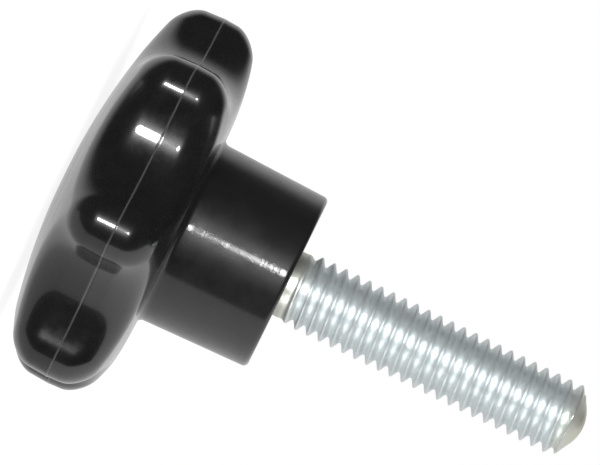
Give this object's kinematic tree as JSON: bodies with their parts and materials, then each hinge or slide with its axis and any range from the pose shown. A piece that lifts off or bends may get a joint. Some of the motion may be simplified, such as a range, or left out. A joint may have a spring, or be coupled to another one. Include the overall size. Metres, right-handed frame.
{
  "type": "star knob",
  "caption": "Star-shaped hand knob of glossy black moulded plastic, with a threaded steel stud moulded into its round hub.",
  "frame": {"origin": "centre of the hub's seat face, on the axis, where the stud leaves the hub", "axes": "+Z along the stud, from the hub towards its tip; +X through the middle of one lobe; the knob stands on the land of its crown"},
  "size_m": [0.0307, 0.0314, 0.0438],
  "materials": {
    "black_moulding": "polished black thermoset moulding",
    "zinc_plated_steel": "bright zinc plate, bluish white"
  },
  "bodies": {
    "root": {"star_grip": "black_moulding", "threaded_stud": "zinc_plated_steel"}
  },
  "joints": []
}
